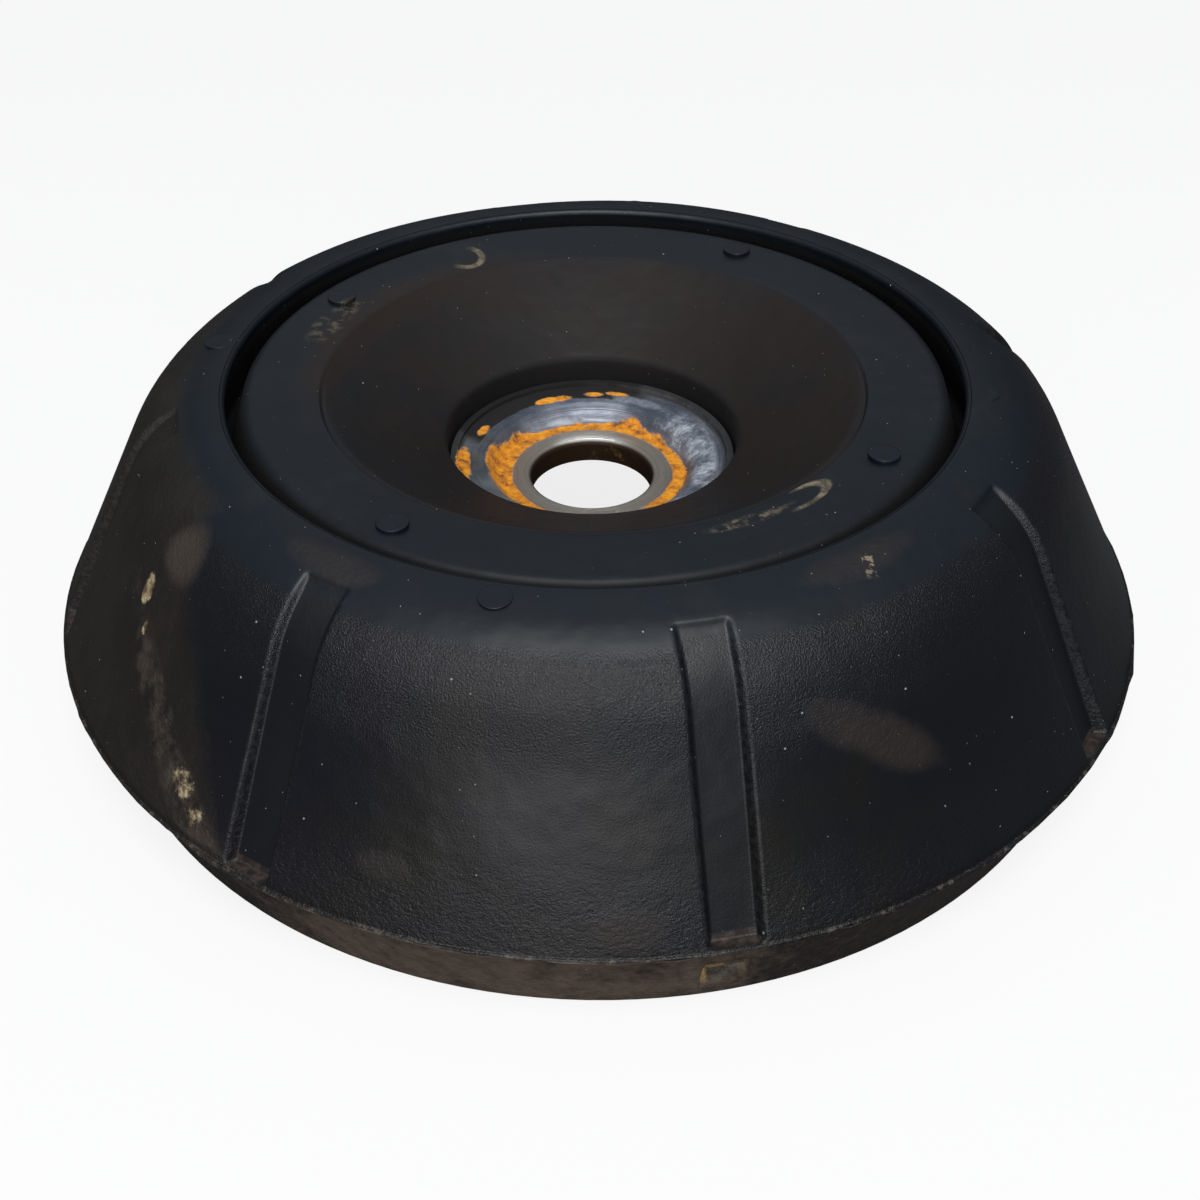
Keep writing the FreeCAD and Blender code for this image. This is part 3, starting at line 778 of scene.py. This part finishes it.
def rubber_material():
    """All the rubber's masks on one surface, then its relief and its gloss."""
    material, place = new_material("moulded rubber")
    distance, angle, height = round_axis(place)

    def attribute(name):
        return place.node("ShaderNodeAttribute", {"attribute_name": name}, {}, "Fac")

    colour, on_top, in_dish, shaded = rubber_colours(place, distance, angle, height, attribute)
    colour, dirty, muddy, crumbs, uneven = rubber_films(place, distance, angle, height, colour)
    colour = rubber_splashes(distance, angle, height, colour, crumbs, uneven)
    colour, on_band = foot_mud(place, angle, height, colour, attribute)
    fine = place.noise(1700, 3, 0.6)
    scuffs = attribute("groove_wall") * fine.step(0.40, 0.62)
    colour = (scuffs * 0.3).cover(colour, SCUFF_GREY)
    small_dots = specks(place.moved((0.3, 0.1, 0)), 900, 0.35, 0.050)
    dots = specks(place, 480, 0.40, 0.040).most(small_dots * 0.6)
    colour = dots.cover(colour, SPECK_WHITE)
    smooth_part = on_top.most(attribute("groove_floor") * 0.75).most(in_dish)
    grainy = (1 - smooth_part) * (1 - on_band * 0.5)
    low = 1 - height.step(13, 22)
    shoulder = height.step(26, 31)
    pitted = place.scaled((1, 1, 1.6)).noise(1700, 3, 0.6).step(0.30, 0.62)
    relief = place.noise(5200, 2, 0.6) * (grainy * (shoulder * 0.28 + low * 0.14 + 0.08) + 0.03)
    relief = relief + pitted * (grainy * low * 0.11) + place.noise(520, 3, 0.5) * 0.09
    relief = relief + place.noise(75, 3, 0.55) * 1.6 + dots * 0.4
    soiled = dirty + muddy + on_band
    relief = relief + soiled * fine * 0.45
    rough = 0.31 + smooth_part * 0.09 + in_dish * 0.06 + soiled * 0.2 + shaded * 0.35
    rough = rough + place.noise(60, 4, 0.6) * 0.10
    finish_surface(place, colour, rough, 0.0, relief, RUBBER_RELIEF, Specular_IOR_Level=0.38)
    return material


rubber = rubber_material()
for piece in (rubber_skin, mould_pads):
    piece.data.materials.append(rubber)
print("rubber nodes:", len(rubber.node_tree.nodes))

# %% [markdown]
# Plated steel with rust
# The seat was zinc plated. The nut has polished a ring round the hole. Outside it the plating
# has gone, and water that stood in the dish has left orange rust, and white zinc salts on the
# side that stayed wet. Bare metal reflects, and rust and salts don't, so the same masks
# that paint the colours also turn the metallic value down.
# The back of the collar and a streak behind the rust are painted highlights, and the outer edge of
# the flange is painted shade as well as dirt.

# %% Colours of the seat
PLATING_DULL, PLATING_BRIGHT = paint(0.15, 0.175, 0.225), paint(0.40, 0.43, 0.49)
COLLAR_BROWN, COLLAR_PALE = paint(0.36, 0.325, 0.27), paint(0.58, 0.54, 0.46)
# A painted highlight's colour, for the back of the collar.
HIGHLIGHT_STEEL = paint(0.88, 0.85, 0.80)
GREY_FILM = paint(0.31, 0.315, 0.285)
OCHRE_FILM = paint(0.30, 0.22, 0.09)
# Salt colours, which also paint a highlight streak at the seat's back.
SALT_AND_GLINT_BLUE, SALT_AND_GLINT_WHITE = paint(0.17, 0.20, 0.25), paint(0.52, 0.56, 0.62)
RUST_DEEP, RUST_ORANGE = paint(0.58, 0.20, 0.014), paint(0.92, 0.36, 0.014)
RUST_PIT = paint(0.20, 0.085, 0.030)
# Near black for dirt and painted shade on the flange, and a paler grey for painted light on its
# steps.
SOOT_AND_SHADE_BLACK, LIT_STEP_GREY = paint(0.0070, 0.0058, 0.0055), paint(0.115, 0.105, 0.100)
BORE_DARK, BORE_OCHRE = paint(0.035, 0.018, 0.008), paint(0.34, 0.21, 0.07)
STEEL_RELIEF = 0.00018
# Rust spots beside the main ring: (bearing, wall radius, middle), then half sizes in mm.
RUST_SPOTS = (
    ((109, 14.2, 14.3), (1.7, 0.5)),
    ((103, 14.2, 14.3), (1.3, 0.5)),
    ((86, 14.7, 14.6), (1.2, 0.42)),
    ((74, 14.9, 14.9), (1.4, 0.32)),
    ((153, 14.6, 14.6), (1.2, 0.5)),
    ((-178, 15.6, 15.4), (3.0, 0.8)),
    ((-171, 15.6, 15.7), (2.0, 0.7)),
)
print("rust spots beside the ring:", len(RUST_SPOTS))

# %% Dirt on the seat
def seat_dirt(angle, distance, ragged, broad):
    """Masks for what lies on the plating: salts, rust, and the black dirt of the outer flange. A
    salt streak at the back is a painted highlight, and the flange's edge and steps hold painted
    shade and light.
    """
    wet = (toward(angle, -6) + ragged * 0.16).step(0.55, 0.85)
    salts_and_glint = wet * (distance + ragged * 1.3).step(11.3, 12.4)
    salts_and_glint = salts_and_glint * (1 - (distance + ragged * 0.9).step(14.6, 15.6))
    # Painted highlight: a pale streak on the bend at the back, round bearing 103, drawn as salts.
    streak = patch(angle, distance, (103, 11.4, 11.45), (2.4, 0.36), 0.7, ragged * 1.3)
    rim_crumbs = patch(angle, distance, (60, 14.3, 14.2), (3.6, 0.6), 0.9, ragged * 2.2) * 0.8
    salts_and_glint = (salts_and_glint * ragged.step(-0.35, 0.25)).most(streak).most(rim_crumbs)
    reach = 11.1 + toward(angle, -158).step(0.1, 0.9) * 1.1
    reach = reach + toward(angle, 64).step(0.975, 1.0) * 0.6
    inner_edge = (distance + broad * 0.5 + ragged * 0.12).step(9.45, 9.8)
    outer_edge = 1 - (distance + ragged * 1.1 + broad * 0.5 - reach).step(-0.05, 0.3)
    gap = (toward(angle, -76) + ragged * 0.05).step(0.90, 0.96)
    rust = inner_edge * outer_edge * (1 - gap * 0.9)
    loop = patch(angle, distance, (172, 12.2, 12.3), (2.6, 0.5), 0.8, ragged * 2.5)
    rust = rust.most(loop)
    for centre, sizes in RUST_SPOTS:
        rust = rust.most(patch(angle, distance, centre, sizes, 0.45, ragged * 1.5))
    back = (toward(angle, 112) + ragged * 0.06).step(0.45, 0.7)
    soot_and_shade = back * (distance + ragged * 0.5 + broad * 0.3).step(13.7, 14.1)
    # All round its outer edge, by the cup's wall, the near black is painted shade as well as dirt.
    soot_and_shade = soot_and_shade.most((distance + broad * 0.5 + ragged * 0.3).step(15.3, 15.9) * 0.92)
    return salts_and_glint, rust * (1 - salts_and_glint * 0.35), soot_and_shade * (1 - rust) * (1 - rim_crumbs)

# %% Strut seat
def seat_material():
    """Plating and its polished collar, then films, salts, rust, soot and the bore's wall. Painted
    highlights lie on the collar's back and in the salts, and painted shade in the soot.
    """
    material, place = new_material("plated seat")
    distance, angle = round_axis(place)[:2]
    ragged = (place.noise(430, 5, 0.68) - 0.5) * 2
    broad = (place.moved((2, 2, 0)).noise(150, 4, 0.6) - 0.5) * 2
    rings = {"W": distance * 2.6, "Detail": 3.0}
    turned = place.node("ShaderNodeTexNoise", {"noise_dimensions": "1D"}, rings)
    salts_and_glint, rust, soot_and_shade = seat_dirt(angle, distance, ragged, broad)
    plating = (broad + turned * 0.8 - 0.4).step(-0.3, 0.45)
    colour = plating.cover(PLATING_DULL, PLATING_BRIGHT)
    collar = 1 - (distance + broad * 0.2).step(9.4, 9.75)
    # Painted highlight: the back of the collar, round bearing 86, is painted near-white.
    painted_highlight = toward(angle, 86).step(0.72, 1.0) * (1 - distance.step(8.0, 9.0))
    collar_colour = turned.step(0.35, 0.65).cover(COLLAR_BROWN, COLLAR_PALE)
    colour = collar.cover(colour, painted_highlight.cover(collar_colour, HIGHLIGHT_STEEL))
    left_film = toward(angle, -152).step(0.3, 0.9) * ragged.step(-0.2, 0.4)
    colour = (left_film * (1 - collar) * 0.6).cover(colour, GREY_FILM)
    ochre_film = toward(angle, 166).step(0.90, 0.99) * distance.step(12.8, 14.0)
    colour = (ochre_film * ragged.step(-0.1, 0.3) * 0.8).cover(colour, OCHRE_FILM)
    # The salt colours also paint the highlight streak at the back.
    salt_and_glint_colour = (ragged + broad * 0.6).step(-0.35, 0.45).cover(SALT_AND_GLINT_BLUE, SALT_AND_GLINT_WHITE)
    colour = (salts_and_glint * 0.92).cover(colour, salt_and_glint_colour)
    rust_shade = place.moved((1, 0, 3)).noise(620, 4, 0.68)
    rust_colour = rust_shade.step(0.42, 0.60).cover(RUST_DEEP, RUST_ORANGE)
    rust_colour = (1 - rust_shade.step(0.36, 0.43)).cover(rust_colour, RUST_PIT)
    colour = rust.cover(colour, rust_colour)
    # On the right, paler rings stand in for light on the flange's steps: painted light.
    lit_step_rings = (turned * 2.2 - 1.1 + ragged * 0.5).step(0.1, 0.8)
    lit_step_rings = lit_step_rings * toward(angle, 20).step(0.2, 0.9)
    colour = soot_and_shade.cover(colour, lit_step_rings.cover(SOOT_AND_SHADE_BLACK, LIT_STEP_GREY))
    in_bore = 1 - distance.step(7.35, 7.7)
    colour = in_bore.cover(colour, ragged.step(0.1, 0.6).cover(BORE_DARK, BORE_OCHRE))
    bare = (1 - salts_and_glint * 0.9) * (1 - rust) * (1 - soot_and_shade) * (1 - in_bore * 0.5)
    rough = 0.33 + (1 - bare) * 0.42 + broad * 0.06 + turned * 0.1 - collar * 0.08
    relief = ragged * (0.2 + salts_and_glint * 1.5 + rust * 1.2)
    relief = relief + place.noise(1700, 2, 0.5) * (salts_and_glint + rust * 0.8) + turned * bare * 0.5
    finish_surface(place, colour, rough, bare * 0.8, relief, STEEL_RELIEF)
    return material


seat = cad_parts["strut_seat"]
seat.data.materials.clear()
seat.data.materials.append(seat_material())
print("seat nodes:", len(seat.active_material.node_tree.nodes))

# %% [markdown]
# The steel under the rubber
# Both pressings were blackened before moulding, so that the rubber would bond to them. The
# plate's underside keeps that coat, with rust coming through. The ring has lost most of it at
# the foot, and has turned ochre there.

# %% Coated pressings
def pressing_material(name, coat, rust, amount):
    """A thin dark coat that rust breaks through. The amount is the noise level where it starts."""
    material, place = new_material(name)
    broad = place.noise(110, 5, 0.65)
    ragged = place.noise(520, 4, 0.6)
    rusty = (broad * 0.7 + ragged * 0.3).step(amount, amount + 0.12)
    shade = place.moved((4, 4, 1)).noise(60, 3, 0.5).step(0.3, 0.7)
    dull_coat = paint(*(part * 0.8 for part in coat))
    deep_rust = paint(*(part * 0.45 for part in rust))
    rust_colour = ragged.step(0.3, 0.7).cover(deep_rust, paint(*rust))
    colour = rusty.cover(shade.cover(dull_coat, paint(*coat)), rust_colour)
    relief = ragged * (0.2 + rusty) + broad * 0.4
    rough, metallic = 0.42 + rusty * 0.4, (1 - rusty) * 0.3
    finish_surface(place, colour, rough, metallic, relief, STEEL_RELIEF)
    return material


for node_name, finish, coat, rust, amount in (
    ("inner_plate", "plate steel", (0.035, 0.036, 0.038), (0.22, 0.085, 0.03), 0.54),
    ("outer_ring", "ring steel", (0.15, 0.125, 0.10), (0.36, 0.24, 0.11), 0.46),
):
    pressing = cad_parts[node_name]
    pressing.data.materials.clear()
    pressing.data.materials.append(pressing_material(finish, coat, rust, amount))
    print(node_name, "is finished as", pressing.active_material.name)

# %% [markdown]
# Floor, light and camera
# A pale floor keeps the shadow that shows where the foot stands. It is a hair lower than the
# foot, so that the two faces don't fight for the same place. The camera sees floor and
# background as white, but the light that they throw on the mount is much weaker, or black
# rubber would look grey. The background gets brighter towards the top, with a soft strip
# behind the mount that glosses the far rim. One broad lamp hangs above and in front, as a
# window would, and makes the sheen along the shoulder. A second one, lower down, lights the
# flank. The camera's place and lens come from the rings of the real mount, which show as
# ellipses whose flatness gives the distance and the height of the eye.

# %% Floor
FLOOR_REACH = 3.0
FLOOR_DROP = 0.00005
PLAIN_WHITE = paint(1, 1, 1)
BOARD_SEEN, BOARD_FELT = paint(0.86, 0.86, 0.86), paint(0.10, 0.10, 0.10)
GLOW_SEEN, GLOW_MIRRORED = 0.84, 0.02
corner = FLOOR_REACH * np.array([[-1, -1, 0], [1, -1, 0], [1, 1, 0], [-1, 1, 0]])
corner[:, 2] = -FLOOR_DROP
floor_mesh = bpy.data.meshes.new("floor")
floor_mesh.from_pydata(corner.tolist(), [], [(0, 1, 2, 3)])
floor = bpy.data.objects.new("floor", floor_mesh)
bpy.context.scene.collection.objects.link(floor)
floor_material, floor_place = new_material("pale floor")


def ray_kinds(start):
    """Two masks: rays from the camera, also through glass, and rays from glossy faces."""
    ray = start.node("ShaderNodeLightPath", {}, {}, "Is Camera Ray")
    return ray.most(ray.beside("Is Transmission Ray")), ray.beside("Is Glossy Ray")


seen, mirrored = ray_kinds(floor_place)
board = {"Color": seen.cover(BOARD_FELT, BOARD_SEEN)}
paper = floor_place.node("ShaderNodeBsdfDiffuse", {}, board)
glow = floor_place.node("ShaderNodeEmission", {}, {"Color": PLAIN_WHITE, "Strength": 1.0})
glow_share = seen * GLOW_SEEN + mirrored * GLOW_MIRRORED
mixed = floor_place.node("ShaderNodeMixShader", {}, {0: glow_share, 1: paper, 2: glow})
floor_place.node("ShaderNodeOutputMaterial", {}, {"Surface": mixed})
floor_mesh.materials.append(floor_material)
print("floor reaches", FLOOR_REACH, "m each way")

# %% Background
HORIZON_LEVEL, ZENITH_LEVEL = 0.03, 0.40
COOL_TINT = paint(0.93, 1.0, 1.08)
world = bpy.data.worlds.new("studio")
bpy.context.scene.world = world
world.use_nodes = True
world.node_tree.nodes.clear()
sky = Value(world.node_tree)
direction = sky.node("ShaderNodeTexCoord", output="Generated")
sideways = sky.node("ShaderNodeSeparateXYZ", {}, {"Vector": direction})
behind, upness = sideways.beside("Y"), sideways.beside("Z")
strip = (1 - abs(sideways).step(0.02, 0.42)) * behind.step(0.1, 0.5)
seen, mirrored = ray_kinds(sky)
studio = HORIZON_LEVEL + upness.step(-0.05, 0.95) * (ZENITH_LEVEL - HORIZON_LEVEL)
studio = studio * (0.62 + strip * 0.55)
level = (studio * (1 + mirrored * 0.25)).most(seen)
tint = seen.cover(COOL_TINT, PLAIN_WHITE)
background = sky.node("ShaderNodeBackground", {}, {"Color": tint, "Strength": level})
sky.node("ShaderNodeOutputWorld", {}, {"Surface": background})
print("world level from", HORIZON_LEVEL, "to", ZENITH_LEVEL)

# %% Lamps
MOUNT_MIDDLE = Vector((0, 0, 0.02))


def area_lamp(name, azimuth, elevation, distance, width, height, power):
    """A rectangular lamp on a sphere round the mount, facing its middle."""
    azimuth, elevation = math.radians(azimuth), math.radians(elevation)
    flat = math.cos(elevation)
    outward = Vector((flat * math.cos(azimuth), flat * math.sin(azimuth), math.sin(elevation)))
    data = bpy.data.lights.new(name, "AREA")
    data.shape, data.size, data.size_y, data.energy = "RECTANGLE", width, height, power
    lamp = bpy.data.objects.new(name, data)
    lamp.location = outward * distance + MOUNT_MIDDLE
    lamp.rotation_mode = "QUATERNION"
    lamp.rotation_quaternion = outward.to_track_quat("Z", "Y")
    bpy.context.scene.collection.objects.link(lamp)
    return lamp


# Bearing and height in degrees, then distance, width and height in metres, and watts.
key = area_lamp("key", -91, 60, 0.9, 0.45, 0.38, 5.8)
front = area_lamp("front", -98, 21, 0.9, 0.64, 0.50, 3.0)
print("lamps:", key.data.energy, "W above and", front.data.energy, "W in front")

# %% Camera
CAMERA_LENS, CAMERA_SENSOR = 51.797, 36.0
PHOTO_WIDTH = 1200
CAMERA_SHIFT = (85 / PHOTO_WIDTH, -80 / PHOTO_WIDTH)
CAMERA_DISTANCE = 212.58 * MM
CAMERA_RISE = 0.6068697
CAMERA_ROLL = -0.0308976
CAMERA_TARGET = Vector((-9.4328, 0.0, 17.4497)) * MM
CAMERA_CLIP = (0.01, 20.0)
level_right = Vector((1, 0, 0))
level_up = Vector((0, math.sin(CAMERA_RISE), math.cos(CAMERA_RISE)))
backward = Vector((0, -math.cos(CAMERA_RISE), math.sin(CAMERA_RISE)))
right = level_right * math.cos(CAMERA_ROLL) + level_up * math.sin(CAMERA_ROLL)
up = level_up * math.cos(CAMERA_ROLL) - level_right * math.sin(CAMERA_ROLL)
lens = bpy.data.cameras.new("camera")
lens.lens, lens.sensor_width = CAMERA_LENS, CAMERA_SENSOR
lens.shift_x, lens.shift_y = CAMERA_SHIFT
lens.clip_start, lens.clip_end = CAMERA_CLIP
camera = bpy.data.objects.new("camera", lens)
camera.rotation_mode = "QUATERNION"
camera.rotation_quaternion = Matrix((right, up, backward)).transposed().to_quaternion()
camera.location = CAMERA_TARGET + backward * CAMERA_DISTANCE
bpy.context.scene.collection.objects.link(camera)
bpy.context.scene.camera = camera
bpy.context.scene.view_settings.view_transform = "Standard"
print("camera at", [round(part, 4) for part in camera.location])
